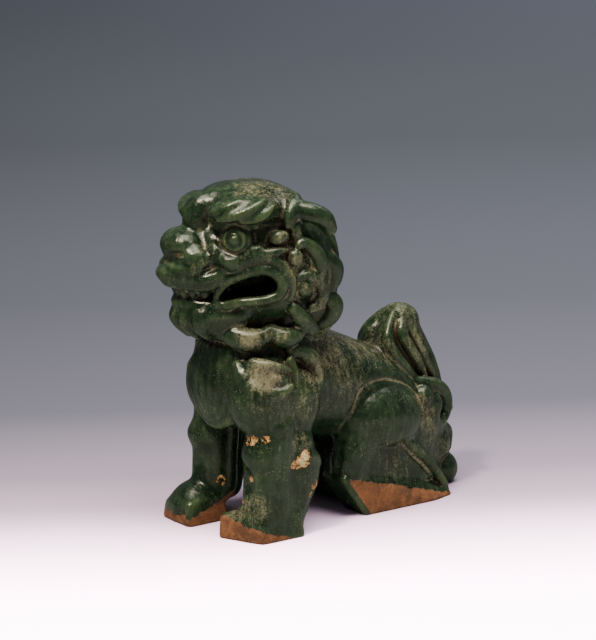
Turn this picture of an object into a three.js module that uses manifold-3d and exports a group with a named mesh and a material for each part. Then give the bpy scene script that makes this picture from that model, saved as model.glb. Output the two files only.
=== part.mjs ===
// A seated guardian lion (foo dog) in green-glazed earthenware, built up the way a potter builds one:
// a hollow pressed body and head, with limbs, curls, lips, ears and tail plumes modelled singly and luted on.
// Millimetres, +Z up. The lion faces -Y and its left side is +X.
import * as THREE from "three";
import { ConvexGeometry } from "three/addons/geometries/ConvexGeometry.js";
import { mergeVertices } from "three/addons/utils/BufferGeometryUtils.js";
import Module from "manifold-3d";

const wasm = await Module();
wasm.setup();

// ---------------------------------------------------------------- driving dimensions
const JOINT_GAP = 0.3; // slip joint left between two luted pieces
const WALL = 6.5; // thickness of the pressed clay walls
const HEAD_PIVOT = [0, -35, 0]; // the vertical axis through the neck
const HEAD_TURN = -15; // degrees; the head looks a little to the lion's right

const GLAZE = { color: 0x2c3d22, roughness: 0.22, metalness: 0 };
const BARE_CLAY = { color: 0xa9683f, roughness: 0.85, metalness: 0 };

// ---------------------------------------------------------------- solids from three.js geometry
function solid(geometry) {
  geometry.deleteAttribute("normal");
  geometry.deleteAttribute("uv");
  const merged = mergeVertices(geometry, 1e-4);
  const made = new wasm.Manifold(
    new wasm.Mesh({
      numProp: 3,
      vertProperties: new Float32Array(merged.attributes.position.array),
      triVerts: new Uint32Array(merged.index.array),
    }),
  );
  return made;
}

const largest = (made) =>
  made.decompose().reduce((best, body) => (body.volume() > best.volume() ? body : best));

// An egg: centre, three radii, an optional turn in degrees about X, Y and Z, and a fineness.
function ball(at, radii, turn = [0, 0, 0], detail = 1) {
  return (grow) => {
    const geometry = new THREE.IcosahedronGeometry(1, detail);
    geometry.scale(...radii.map((r) => r + grow));
    const angles = turn.map(THREE.MathUtils.degToRad);
    geometry.applyMatrix4(new THREE.Matrix4().makeRotationFromEuler(new THREE.Euler(...angles, "ZYX")));
    geometry.translate(...at);
    return solid(geometry);
  };
}

// A rolled coil of clay through points [x, y, z, radius], pinched by flat along the direction face.
function coil(points, { flat = 1, face = [1, 0, 0], sides = 6, rings = 1, closed = false } = {}) {
  return (grow) => {
    const centres = points.map((p) => new THREE.Vector3(p[0], p[1], p[2]));
    const curve = new THREE.CatmullRomCurve3(centres, closed, "centripetal");
    const steps = rings * (closed ? points.length : points.length - 1);
    const outward = new THREE.Vector3(...face).normalize();
    const radiusAt = (t) => {
      const s = t * (closed ? points.length : points.length - 1);
      const i = Math.min(Math.floor(s), points.length - (closed ? 1 : 2));
      const next = points[(i + 1) % points.length];
      return THREE.MathUtils.lerp(points[i][3], next[3], s - i) + grow;
    };
    const stations = [];
    const station = (t, slide, shrink) => {
      const tangent = curve.getTangent(t);
      const centre = curve.getPoint(t).addScaledVector(tangent, slide);
      stations.push({ centre, tangent, radius: radiusAt(t) * shrink });
    };
    const shoulder = THREE.MathUtils.degToRad(45); // of the rounded end
    const back = radiusAt(0) * flat;
    const on = radiusAt(1) * flat;
    if (!closed) station(0, -back * Math.sin(shoulder), Math.cos(shoulder));
    for (let i = 0; i < steps + (closed ? 0 : 1); i++) station(i / steps, 0, 1);
    if (!closed) station(1, on * Math.sin(shoulder), Math.cos(shoulder));

    const vertices = [];
    const faces = [];
    for (const { centre, tangent, radius } of stations) {
      const thin = outward.clone().addScaledVector(tangent, -outward.dot(tangent)).normalize();
      const wide = new THREE.Vector3().crossVectors(thin, tangent).normalize();
      for (let k = 0; k < sides; k++) {
        const a = (k / sides) * 2 * Math.PI;
        vertices.push(
          centre
            .clone()
            .addScaledVector(wide, radius * Math.cos(a))
            .addScaledVector(thin, radius * flat * Math.sin(a)),
        );
      }
    }
    const loops = stations.length;
    const spans = closed ? loops : loops - 1;
    for (let i = 0; i < spans; i++) {
      for (let k = 0; k < sides; k++) {
        const a = i * sides + k;
        const b = i * sides + ((k + 1) % sides);
        const up = ((i + 1) % loops) * sides - i * sides;
        faces.push(a, b, b + up, a, b + up, a + up);
      }
    }
    if (!closed) {
      for (const [ring, pole, t, sign] of [[0, vertices.length, 0, -1],
        [loops - 1, vertices.length + 1, 1, 1]]) {
        const end = curve.getPoint(t).addScaledVector(curve.getTangent(t), sign * radiusAt(t) * flat);
        vertices.push(end);
        for (let k = 0; k < sides; k++) {
          const a = ring * sides + k;
          const b = ring * sides + ((k + 1) % sides);
          faces.push(...(sign < 0 ? [b, a, pole] : [a, b, pole]));
        }
      }
    }
    const geometry = new THREE.BufferGeometry().setFromPoints(vertices);
    geometry.setIndex(faces);
    const made = solid(geometry);
    return made.volume() > 0 ? made : solid(turnedInsideOut(geometry));
  };
}

function turnedInsideOut(geometry) {
  const index = geometry.index.array;
  for (let i = 0; i < index.length; i += 3) [index[i + 1], index[i + 2]] = [index[i + 2], index[i + 1]];
  return geometry;
}

// A lump pressed between the palms: the hull of small balls [x, y, z, radius].
function lump(points) {
  return (grow) => {
    const skin = [];
    for (const [x, y, z, radius] of points) {
      const grain = new THREE.IcosahedronGeometry(radius + grow, 0).attributes.position;
      for (let i = 0; i < grain.count; i++) {
        skin.push(new THREE.Vector3().fromBufferAttribute(grain, i).add(new THREE.Vector3(x, y, z)));
      }
    }
    return solid(new ConvexGeometry(skin));
  };
}

// A block cut with the knife: the hull of its corners.
const block = (corners) => () => solid(new ConvexGeometry(corners.map((c) => new THREE.Vector3(...c))));

// Several shapes pressed into one piece of clay.
const group = (...makers) => (grow) =>
  makers.slice(1).reduce((sum, make) => sum.add(make(grow)), makers[0](grow));

const flip = ([x, ...rest]) => [-x, ...rest];

// ---------------------------------------------------------------- body
const BACK = [[0, -32, 74, 27], [0, -8, 67, 27], [0, 16, 58, 26], [0, 33, 49, 26], [0, 52, 33, 26]];
const chest = ball([0, -35, 73], [27, 22, 27], [0, 0, 0], 2);
const barrel = coil(BACK, { sides: 12 });
const neck = coil([[0, -30, 84, 24], [-1, -32, 103, 22]], { sides: 12 });
const seat = lump([
  [12, 24, 10, 11], [-12, 24, 10, 11], [11, 56, 10, 11], [-11, 56, 10, 11], [5, 73, 11, 11],
  [-5, 73, 11, 11],
  [10, 64, 36, 11], [-10, 64, 36, 11], [12, 22, 32, 13], [-12, 22, 32, 13],
]);
const FAR = 120; // beyond every side of the lion
const underside = block([
  [FAR, FAR, 0], [FAR, -FAR, 0], [-FAR, FAR, 0], [-FAR, -FAR, 0],
  [FAR, FAR, -FAR], [FAR, -FAR, -FAR], [-FAR, FAR, -FAR], [-FAR, -FAR, -FAR],
]);
const cavity = group(
  coil(BACK.map(([x, y, z, r]) => [x, y, z, r - WALL]), { sides: 12 }),
  block([
    [15, 24, -1], [15, 58, -1], [-15, 58, -1], [-15, 24, -1],
    [14, 24, 40], [14, 56, 36], [-14, 56, 36], [-14, 24, 40],
  ]),
);
const neckBore = coil([[0, -31, 78, 12], [-1, -32, 130, 12]], { sides: 10 });

function torso(grow) {
  const outside = group(barrel, chest, neck, seat)(grow).subtract(underside(0));
  return grow > 0 ? outside : outside.subtract(cavity(0)).subtract(neckBore(0));
}

// ---------------------------------------------------------------- limbs
// side is 1 for the lion's left, -1 for its right.
const sided = (side, points) => (side > 0 ? points : points.map(flip));

// Corners of each forepaw on the ground: inner toe, outer toe, outer heel, inner heel.
const PAW_OUTLINES = {
  left: [[10.4, -63.4], [33.2, -55.6], [34.8, -31], [12, -36]],
  right: [[-10.1, -65.3], [-32.8, -64], [-34, -41], [-9, -43]],
};
function forepaw(outline) {
  const middle = outline.reduce(([mx, my], [x, y]) => [mx + x / 4, my + y / 4], [0, 0]);
  const inset = ([x, y], by) => {
    const reach = Math.hypot(middle[0] - x, middle[1] - y);
    return [x + ((middle[0] - x) * by) / reach, y + ((middle[1] - y) * by) / reach];
  };
  const [innerToe, outerToe, outerHeel, innerHeel] = outline;
  return lump([
    ...outline.map((corner) => [...inset(corner, 4.2), 1.5, 3.2]),
    [...inset(innerToe, 4.6), 9.2, 3.4],
    [...inset(outerToe, 4.6), 8.2, 3.4],
    [...inset(outerHeel, 7), 13, 5],
    [...inset(innerHeel, 7), 13, 5],
    [...inset(innerToe, 12), 10.5, 6],
    [...inset(outerToe, 11), 9.5, 6],
  ]);
}
// The lion leans into its turn: the left shoulder is forward and the right one back.
const SHOULDERS = { left: [20, -45], right: [-20, -38] };
const SHINS = { left: [24, -44, 11.8], right: [-20.5, -41, 11] };
function foreleg(side, word) {
  const [sx, sy] = SHOULDERS[word];
  const [x, y, radius] = SHINS[word];
  return group(
    ball([sx + side, sy - 0.5, 67], [14.5, 16.5, 19.5], [0, 0, 0], 2),
    ball([side * 25, -29, 64], [11, 13, 17]),
    coil(
      [[x + side, y + 1, 54, radius - 0.8], [x, y, 42, radius + 0.4], [x, y - 0.5, 30, radius],
      [x, y - 1, 16, radius]],
      { sides: 8 },
    ),
    coil([[side * 28, y + 14, 44, 8], [side * 27.5, y + 14, 30, 9],
      [side * 26.5, y + 11, 12, 8]], { sides: 8 }),
  );
}
// A leaf of hair behind the wrist, with a raised tip.
const elbowTuft = (side, word) => {
  const y = SHINS[word][1];
  return group(
    coil(
      sided(side, [[30.5, y + 13, 38, 5], [31, y + 17.5, 34, 6.5], [30.5, y + 17.5, 25, 6.5],
        [29.5, y + 14, 14, 5]]),
      { flat: 0.7, face: [side, -0.2, 0] },
    ),
    coil(sided(side, [[32.5, y + 5, 36.5, 1.5], [33.8, y + 13, 37.5, 3.2], [33, y + 20, 37, 2.6],
      [32, y + 23.5, 33.5, 1.6]])),
  );
};
// A flame of hair behind the shoulder: a leaf above, a low rim below, and the stem that joins them.
const shoulderTuft = (side, word) => {
  const y = SHOULDERS[word][1];
  return group(
    coil(sided(side, [[27, y + 11, 90, 3], [28.8, y + 17, 88, 4], [29.3, y + 23, 84, 4.2],
      [29.5, y + 26.5, 77.5, 2.6]])),
    coil(sided(side, [[28.5, y + 11, 88, 3.4], [31, y + 11, 79, 3.4], [30.5, y + 11, 70, 3.2]])),
    coil(sided(side, [[30.5, y + 11, 70, 3.4], [31.5, y + 17, 68, 3.8], [30.8, y + 24.5, 70.5, 3.2],
      [29, y + 28, 76, 2.2]])),
  );
};
// The curled lock on the point of the shoulder: a leaf, two hooked tips and the bead between them.
const shoulderLock = (side, word) => {
  const y = SHOULDERS[word][1];
  return group(
    ball([side * 25.5, y - 5, 79], [5.5, 10.5, 8.5], [0, 0, side * -41]),
    coil(sided(side, [
      [17, y - 12, 84, 3], [20.5, y - 13, 79.5, 3.4], [26, y - 11, 74.5, 3.6], [31, y - 6, 71.8, 3.4],
      [34.8, y, 72.2, 2.8], [36, y + 5, 75, 1.6],
    ])),
    coil(sided(side, [[24, y - 8.5, 86, 3], [30, y - 4.5, 85.2, 3], [33.4, y + 1.5, 83.6, 2.6],
      [33.6, y + 6.5, 81.6, 1.6]])),
    ball([side * 32.5, y, 78.3], [3.4, 4.2, 3]),
  );
};
// The thigh is a dome that rests on the flat shank; a ridge runs down the back of the shank to the heel.
const haunch = (side) =>
  group(
    lump(sided(side, [
      [20, 9, 26, 7.5], [20, 12, 38, 7.5], [21, 40, 32, 7.5], [22, 54, 14, 7.5], [20, 12, 17, 7.5],
      [22, 34, 12, 7.5], [17, 12, 26, 7.5], [14, 50, 24, 7.5],
    ])),
    ball([side * 17.8, 29.5, 44.5], [16.5, 26, 17.5], [-14, 0, 0], 2),
    coil(sided(side, [[18.5, 19, 44, 10], [20, 12, 34, 8.8], [20.5, 8, 26, 8.2],
      [20.5, 8, 20, 7.5]]), { sides: 8 }),
    coil(sided(side, [
      [27, 36, 36, 2], [27.3, 45.5, 27.5, 2.6], [27.8, 53, 20.5, 2.6], [28.2, 59, 13.5, 2.5],
      [28.6, 64, 6.5, 2.4],
    ])),
  );
const hindFoot = (side) =>
  lump(sided(side, [
    [26.3, 1, 19.2, 2], [27.2, 26, 15.2, 2], [28.2, 46, 10, 2], [29.5, 60, 3.2, 2], [28.9, 14, 0, 2],
    [32.2, 55, 0, 2], [30, 66.5, 0, 2], [20, 70, 1.5, 2],
    [12, 2, 19, 2], [16.5, 14, 0, 2], [16.5, 68, 0, 2], [16.5, 60, 5, 2],
  ]));

// ---------------------------------------------------------------- chest plate: a bib with nested folds
const BIB_MIDDLE = -3;
const BIB_FOLDS = [[17.5, 51.5], [11, 56], [4.5, 61]]; // half width and lowest height of each
function bibFold([half, low]) {
  const row = (across, z, radius) => {
    const bend = 0.022 * (across * half) ** 2 + 0.012 * (z - 70) ** 2;
    return [BIB_MIDDLE + across * half, -58.6 + Math.min(bend, 6), z, radius];
  };
  return coil([
    row(-0.8, 88, 2.4), row(-1, 72, 2.7), row(-0.7, low + 0.3 * (72 - low), 2.7), row(0, low, 2.7),
    row(0.7, low + 0.3 * (72 - low), 2.7), row(1, 72, 2.7), row(0.8, 88, 2.4),
  ], { sides: 5, rings: 2, face: [0, 1, 0] });
}
const chestPlate = group(ball([BIB_MIDDLE, -46.5, 70], [20, 14, 22],
  [0, 0, 0], 2), ...BIB_FOLDS.map(bibFold));

// ---------------------------------------------------------------- tail
const tailMiddle = group(
  lump([
    [0, 56, 87, 5], [0, 64, 86, 5], [2, 49, 80, 5], [-2, 49, 80, 5], [4, 40, 68, 5], [-4, 40, 68, 5],
    [3, 67, 75, 5],
    [-3, 67, 75, 5], [4, 75.5, 61, 5], [-4, 75.5, 61, 5], [5, 79, 48, 5], [-5, 79, 48, 5],
    [6, 48, 52, 5], [-6, 48, 52, 5],
  ]),
  ball([0, 60, 86.3], [8.5, 10.5, 7.9], [-12, 0, 0], 2),
  coil([[3, 60, 89, 2], [3, 63, 80, 2.2], [2, 69, 73, 2.2], [2, 76, 64, 2.2], [2, 81, 53, 2]]),
);
const tailPlume = (side) =>
  group(
    coil(sided(side, [[3, 50, 86, 3], [5.5, 45.5, 79, 4.5], [7.5, 44.5, 71, 5], [9.5, 50, 63, 5],
      [10, 57, 56, 4]]), {
      sides: 8,
    }),
    coil(sided(side, [
      [4, 53, 90, 2], [7, 47.5, 83, 2.2], [9, 46, 76, 2.4], [11, 49, 70, 2.4], [12, 54.5, 63, 2.4],
      [12, 59, 57, 2.2],
    ])),
    coil(sided(side, [[5.5, 56, 86, 4], [8, 54, 78, 4], [8.5, 57, 70, 4.2], [9, 61, 62, 4.2],
      [9, 64, 55, 4]])),
    coil(sided(side, [[6, 63, 87, 2.6], [6.5, 62, 79, 3], [7, 66, 70, 3.4], [7, 70, 60, 3.4],
      [7.5, 73, 52, 3]])),
  );
const tailUpperCurl = (side) =>
  group(
    coil(sided(side, [
      [13, 55.5, 57.5, 2.6], [15.5, 61.5, 56, 3.4], [16.3, 69, 54, 3.7], [14.8, 76.5, 49, 3.9],
      [12.5, 81, 42, 3.9], [12.5, 80, 35.5, 3.4], [15.5, 74.5, 33, 2.7], [18, 68, 34.5, 1.8],
    ])),
    ball([side * 17, 65.5, 44], [5.2, 7.6, 7.4], [-15, 0, 0]),
  );
const tailKnob = group(
  coil([[8, 75, 47, 4], [7, 81, 45, 4.6], [4, 85.5, 40, 4.6], [0, 86.5, 34, 4], [0, 86, 26, 3.8]]),
  coil([[-8, 75, 47, 4], [-7, 81, 45, 4.6], [-4, 85.5, 40, 4.6], [0, 86.5, 34, 4]]),
  ball([5.5, 88, 36.5], [3.2, 3.2, 3.2]),
);
const tailLowerCurl = (side) =>
  group(
    ball([side * 12.5, 75.5, 21], [6, 7, 8.2]),
    coil(sided(side, [
      [15.5, 66, 30.5, 2.2], [14.5, 71, 30.5, 3.4], [12, 78, 29.5, 3.8], [9, 84.5, 25, 4],
      [8, 85.5, 17, 3.6],
    ])),
    ball([side * 10, 80, 9], [9, 8.5, 9]),
  );

// ---------------------------------------------------------------- head
// It has its own frame, where the neck axis is x = y = 0.
// The fold of each cheek, from the corner of the lip over the mouth and down behind it.
const cheekFold = (side) =>
  coil(
    sided(side, [
      [22.5, -18.5, 131.2, 2], [24.8, -15, 133.3, 2.3], [27.9, -9.5, 135, 2.5], [30, -4, 134.6, 2.5],
      [31.5, 1.5, 131.8, 2.5], [32, 6, 125.8, 2.4], [31.6, 7.5, 119, 2.4], [30.2, 8, 113.5, 2.2],
      [28, 7, 108.5, 1.8],
    ]),
    { sides: 5 },
  );
const skull = group(
  ball([0, 1, 136], [27.5, 27.5, 27], [0, 0, 0], 2),
  ball([0, 5, 122], [30, 27, 24], [0, 0, 0], 2),
  ball([14.5, -10, 133], [12.5, 14.5, 7.5]),
  ball([-14.5, -10, 133], [12.5, 14.5, 7.5]),
  coil([[0, -10, 138, 19], [0, -29, 134, 13]], { sides: 10 }),
  cheekFold(1),
  cheekFold(-1),
);
const headCavity = ball([0, 8, 134], [16, 15, 18]);
const neckOpening = coil([[0, 2, 84, 13], [0, 5, 132, 13]], { sides: 10 });
const mouthHollow = coil(
  [[40, -4, 121, 7.5], [24, -12, 120, 7], [9, -24, 117, 7], [-9, -24, 117, 7], [-24, -12, 120, 7],
  [-40, -4, 121, 7.5]],
  { sides: 8, face: [0, 1, 0] },
);
const headShell = (grow) =>
  grow > 0 ? skull(grow) : skull(0).subtract(headCavity(0)).subtract(neckOpening(0)).subtract(mouthHollow(0));

const crown = group(
  lump([
    [0, -14, 158, 7.5], [12, -12, 157.5, 7.5], [-12, -12, 157, 7.5], [17, 3, 157, 7.5], [-17, 3, 156, 7.5],
    [12, 12, 157, 7.5], [-12, 12, 156, 7.5], [0, -5, 160, 6.3], [5, 7, 160, 6.3], [-4, 7, 159.5, 6.3],
  ]),
  coil([[2, -20, 157, 7.5], [0.5, -26, 154.5, 7.5], [1, -28.5, 148.5, 6], [1, -28, 143, 4]], { sides: 8 }),
);
// The brows lean with the tilt of the forehead: the right one sits lower.
const BROW_DROP = { left: 0, right: 3.5 };
const brow = (side, word) => {
  const drop = BROW_DROP[word];
  const lower = (points) => sided(side, points.map(([x, y, z, radius]) => [x, y, z - drop, radius]));
  return group(
    coil(lower([[16, -23.5, 155, 5.5], [21.5, -18.5, 157, 7], [25, -10, 157, 7.2], [25, -5, 157, 6.2]]), {
      flat: 0.92,
      face: [0, 0, 1],
      sides: 8,
    }),
    coil(lower([[17, -26, 153, 1.8], [23, -22.5, 155.5, 2], [27.5, -17.5, 159, 2], [28.5, -12, 162, 1.6]])),
    coil(lower([[23, -24.5, 151, 1.8], [28.5, -19.5, 152.5, 2], [30.5, -14, 155.5, 2],
      [30.5, -8, 159.5, 1.6]])),
    coil(lower([[28.5, -17.5, 150.5, 1.8], [31, -10.5, 152, 2], [31, -5.5, 155, 2], [29, -1, 158, 1.6]])),
  );
};
const eyelid = (side) =>
  coil(
    sided(side, [
      [15.8, -25.3, 140.8, 1.9], [20, -21.5, 136.8, 2.1], [25.5, -14, 137.8, 2.1], [28.2, -7, 142, 2],
      [27.5, -8, 148, 2], [22, -18.5, 151.5, 2], [17, -24.5, 148.5, 1.9],
    ]),
    { sides: 5, rings: 2, closed: true, face: [1, -0.6, 0] },
  );
const eyeball = (side) =>
  group(
    ball([side * 20.4, -15.6, 143.8], [7.5, 7.5, 7.5], [0, 0, 0], 2),
    ball([side * 25.1, -19, 144.4], [2.8, 2.8, 2.8]),
  );
const nose = group(
  ball([0, -35.5, 138.3], [12, 9.5, 8.8], [-10, 0, 0], 2),
  ball([10, -32.5, 134], [7, 7.5, 5.6]),
  ball([-10, -32.5, 134], [7, 7.5, 5.6]),
);
const upperLip = group(
  coil(
    [
      [-19.5, -22, 129.5, 2.6], [-18, -26, 126, 3], [-14.5, -32, 124, 3.6], [-7, -40, 124.5, 4],
      [0, -44, 125.4, 4.4],
      [7, -40, 124.5, 4], [14.5, -32, 124, 3.6], [18, -26, 126, 3], [19.5, -22, 129.5, 2.6],
    ],
    { face: [0, 0, 1] },
  ),
  ball([0, -31, 127.5], [16.5, 13.5, 5]),
  ball([19.6, -21.6, 130.2], [3.2, 3.2, 3.2]),
  ball([-19.6, -21.6, 130.2], [3.2, 3.2, 3.2]),
);
const teeth = coil([[-13, -27, 120, 3.2], [-8, -33.5, 119.5, 3.4], [0, -36.5, 119.5, 3.6],
  [8, -33.5, 119.5, 3.4], [13, -27, 120, 3.2]]);
const mouthRim = (side) =>
  coil(
    sided(side, [
      [19.5, -21.5, 123, 2.5], [24, -16.8, 127, 2.8], [28.3, -9.5, 129.8, 2.9], [30.3, -3, 128.8, 2.9],
      [31, 1.8, 124, 2.9], [30.5, 1.2, 118, 2.7], [28.3, -5, 115.2, 2.6], [23.5, -14.5, 114, 2.6],
      [17.5, -21.5, 112, 2.5], [15.3, -24.5, 114.3, 2.2], [16.8, -23.8, 118.6, 2.3],
    ]),
    { closed: true, face: [1, -0.4, 0] },
  );
const jaw = group(
  lump([
    [0, -33, 106, 6], [11, -28, 106, 6], [-11, -28, 106, 6], [0, -30, 101, 6], [15, -12, 107, 6],
    [-15, -12, 107, 6],
    [10, -19, 99, 6], [-10, -19, 99, 6],
  ]),
  coil([[-15, -24, 111.5, 2.6], [-8, -33, 111.5, 3], [0, -37, 112, 3.4], [8, -33, 111.5, 3],
    [15, -24, 111.5, 2.6]]),
  ...[-2, -1, 0, 1, 2].map((i) =>
    coil([[i * 5.5, -36 + 1.3 * i * i, 108, 2.6], [i * 6, -36 + 1.4 * i * i, 103, 3.2],
      [i * 5.5, -31 + 1.2 * i * i, 97, 2.4]]),
  ),
);
const tongue = ball([0, -22, 113], [10, 12, 3.5]);
const earLock = (side) =>
  coil(sided(side, [[12, 14, 161, 3.2], [19, 13, 161, 4], [25, 10.5, 158, 4.4], [28, 7.5, 153.5, 3.6],
    [28.6, 6, 149, 2]]));
const ear = (side) =>
  coil(sided(side, [[21, 9, 155, 3.6], [25.5, 12, 155.5, 4.8], [28.5, 17.5, 154, 5.3],
    [29.5, 23.5, 151, 5], [29.3, 27, 146.5, 3.6]]));
const cheekBead = (side) => ball([side * 28.3, 1.5, 144], [3.6, 5.3, 3.6]);

// Each mane curl is a comma of clay, from its thick head to its thin tail.
const MANE_CURLS = [
  [[30.2, 8.7, 134, 4], [30.5, 11.5, 139.5, 2.8], [29.5, 18, 137.5, 3.6], [28.5, 22, 130.5, 4],
  [28, 21.5, 124.5, 3.2]],
  [[29.8, 14, 119.5, 4], [30, 15.5, 125, 2.8], [28.3, 21, 121.5, 3.6], [27, 24, 116, 3.8],
  [26.5, 22.5, 110.5, 3.2]],
  [[23, 29, 131, 4], [21.5, 33, 126, 5], [20.5, 32.5, 119.5, 4.8], [20, 29, 115.5, 3.4]],
  [[20.5, 28, 113, 4], [20, 33.5, 108, 5], [19, 32, 102, 4.6], [18, 28, 99, 3.4]],
  [[28.5, 9, 110, 3.6], [27.5, 13.5, 104.5, 4.6], [24.5, 18.5, 99.5, 4.6], [22, 22, 97, 3.4]],
];
const maneCurl = (side, i) => coil(sided(side, MANE_CURLS[i]));
const napeMane = group(ball([0, 20, 125], [27, 20, 31], [0, 0, 0], 2), ball([0, 27, 104], [19, 13, 16]));
const BEARD_LOBES = [
  [[10, -19, 100, 4], [15.5, -16, 97, 5.8], [21.5, -9.5, 95, 6], [24.5, -4, 97.5, 4]],
  [[23.5, 0.5, 99, 4.4], [26.5, 5, 96, 5], [26.5, 11, 97, 4.4], [25.5, 14, 100, 2.8]],
];
const beardLobe = (side, i) => coil(sided(side, BEARD_LOBES[i]));

// ---------------------------------------------------------------- assembly
const turnHead = new THREE.Matrix4()
  .makeTranslation(...HEAD_PIVOT)
  .multiply(new THREE.Matrix4().makeRotationZ(THREE.MathUtils.degToRad(HEAD_TURN)));
const onHead = (make) => (grow) => make(grow).transform(turnHead.toArray());

const SIDES = [["left", 1], ["right", -1]];
const pieces = []; // [name, maker, material, is on the head], in the order in which they are luted on
const add = (name, make, material = GLAZE) => pieces.push({ name, make, material, head: false });
const addToHead = (name, make) => pieces.push({ name, make: onHead(make), material: GLAZE, head: true });
const addPair = (name, make) => SIDES.forEach(([word, side]) => add(`${word}_${name}`, make(side, word)));
const addHeadPair = (name, make) =>
  SIDES.forEach(([word, side]) => addToHead(`${word}_${name}`, make(side, word)));

add("torso_shell", torso);
addToHead("head_shell", headShell);
for (const [word, side] of SIDES) {
  add(`${word}_forepaw`, forepaw(PAW_OUTLINES[word]), BARE_CLAY);
  add(`${word}_foreleg`, foreleg(side, word));
  add(`${word}_hind_foot`, hindFoot(side), BARE_CLAY);
  add(`${word}_haunch`, haunch(side));
}
addPair("elbow_tuft", elbowTuft);
addPair("shoulder_tuft", shoulderTuft);
addPair("shoulder_lock", shoulderLock);
add("chest_plate", chestPlate);
add("tail_middle", tailMiddle);
addPair("tail_plume", tailPlume);
addPair("tail_upper_curl", tailUpperCurl);
add("tail_knob", tailKnob);
addPair("tail_lower_curl", tailLowerCurl);
addToHead("nape_mane", napeMane);
addToHead("crown", crown);
addHeadPair("eyelid", eyelid);
addHeadPair("eyeball", eyeball);
addHeadPair("brow", brow);
addToHead("nose", nose);
addToHead("upper_lip", upperLip);
addHeadPair("mouth_rim", mouthRim);
addToHead("upper_teeth", teeth);
addToHead("lower_jaw", jaw);
addToHead("tongue", tongue);
addHeadPair("ear", ear);
addHeadPair("ear_lock", earLock);
addHeadPair("cheek_bead", cheekBead);
MANE_CURLS.forEach((_, i) => addHeadPair(`mane_curl_${i + 1}`, (side) => maneCurl(side, i)));
BEARD_LOBES.forEach((_, i) => addHeadPair(`beard_lobe_${i + 1}`, (side) => beardLobe(side, i)));

const overlaps = (a, b) => {
  const [p, q] = [a.boundingBox(), b.boundingBox()];
  return [0, 1, 2].every((k) => p.min[k] < q.max[k] && q.min[k] < p.max[k]);
};

// Each piece is trimmed to sit on those already there, with the slip joint between them.
const luted = [];
for (const piece of pieces) {
  let body = piece.make(0);
  for (const earlier of luted) {
    const seatOf = earlier.grown;
    if (overlaps(body, seatOf)) body = body.subtract(seatOf);
  }
  luted.push({ ...piece, body: largest(body.subtract(underside(0))), grown: piece.make(JOINT_GAP) });
}

const whole = new THREE.Box3();
for (const { body } of luted) {
  const { min, max } = body.boundingBox();
  whole.union(new THREE.Box3(new THREE.Vector3(...min), new THREE.Vector3(...max)));
}
const middle = whole.getCenter(new THREE.Vector3());

const lion = new THREE.Group();
lion.name = "foo_dog";
lion.position.set(-middle.x, -middle.y, -whole.min.z); // the origin is under the middle of the whole
const head = new THREE.Group();
head.applyMatrix4(turnHead);
lion.add(head);

for (const { name, body, material, head: isHead } of luted) {
  const made = isHead ? body.transform(turnHead.clone().invert().toArray()) : body;
  const { vertProperties, triVerts } = made.getMesh();
  const geometry = new THREE.BufferGeometry();
  geometry.setAttribute("position", new THREE.BufferAttribute(new Float32Array(vertProperties), 3));
  geometry.setIndex(new THREE.BufferAttribute(triVerts, 1));
  geometry.computeBoundingBox();
  const centre = geometry.boundingBox.getCenter(new THREE.Vector3());
  geometry.translate(-centre.x, -centre.y, -centre.z);
  geometry.computeVertexNormals();
  const mesh = new THREE.Mesh(geometry, new THREE.MeshStandardMaterial(material));
  mesh.name = name;
  mesh.position.copy(centre);
  (isHead ? head : lion).add(mesh);
}

export default lion;
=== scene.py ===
"""A green-glazed pottery foo dog, modelled in clay, fired and photographed.

The statue is sculpted once, as coils, eggs and lumps of clay pressed together on a fine grid
of distances, in the millimetre frame of the statue's own middle. Its skin is then cut along
the joints of its pieces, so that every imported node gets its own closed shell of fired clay.
"""
from itertools import combinations
from math import cos, pi, radians, sin

import bpy
import numpy as np
import openvdb
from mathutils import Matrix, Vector


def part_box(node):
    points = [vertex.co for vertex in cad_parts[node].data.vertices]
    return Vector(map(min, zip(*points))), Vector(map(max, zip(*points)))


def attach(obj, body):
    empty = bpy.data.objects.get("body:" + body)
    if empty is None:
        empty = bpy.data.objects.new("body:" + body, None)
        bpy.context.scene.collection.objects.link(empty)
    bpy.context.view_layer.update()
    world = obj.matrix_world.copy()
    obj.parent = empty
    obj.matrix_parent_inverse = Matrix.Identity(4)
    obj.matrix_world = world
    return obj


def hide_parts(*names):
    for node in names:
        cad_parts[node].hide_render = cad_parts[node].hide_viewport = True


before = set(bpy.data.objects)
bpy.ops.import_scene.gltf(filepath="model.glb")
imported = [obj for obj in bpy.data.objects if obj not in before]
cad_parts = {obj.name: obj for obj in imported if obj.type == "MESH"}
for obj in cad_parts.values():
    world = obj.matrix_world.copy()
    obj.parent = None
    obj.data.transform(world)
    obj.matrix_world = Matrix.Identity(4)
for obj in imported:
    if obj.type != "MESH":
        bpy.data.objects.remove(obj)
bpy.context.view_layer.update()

MM = 0.001
GRID_STEP = 0.55     # mm between samples of the clay


# ---------------------------------------------------------------- clay

HEAD_PIVOT = np.array([0.0, -35.0, 0.0])
HEAD_TURN = -15.0


def turn_z(degrees):
    c, s = cos(radians(degrees)), sin(radians(degrees))
    return np.array([[c, -s, 0], [s, c, 0], [0, 0, 1.0]])


def turn(x, y, z):
    """Rotation about X, then Y, then Z, in degrees."""
    cx, sx, cy, sy = cos(radians(x)), sin(radians(x)), cos(radians(y)), sin(radians(y))
    about_x = np.array([[1, 0, 0], [0, cx, -sx], [0, sx, cx]])
    about_y = np.array([[cy, 0, sy], [0, 1, 0], [-sy, 0, cy]])
    return turn_z(z) @ about_y @ about_x


def compass(count):
    """Directions spread evenly over a sphere."""
    i = np.arange(count) + 0.5
    up = 1 - 2 * i / count
    across = np.sqrt(1 - up ** 2)
    spin = i * np.pi * (1 + 5 ** 0.5)
    return np.stack([across * np.cos(spin), across * np.sin(spin), up], 1)


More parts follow.
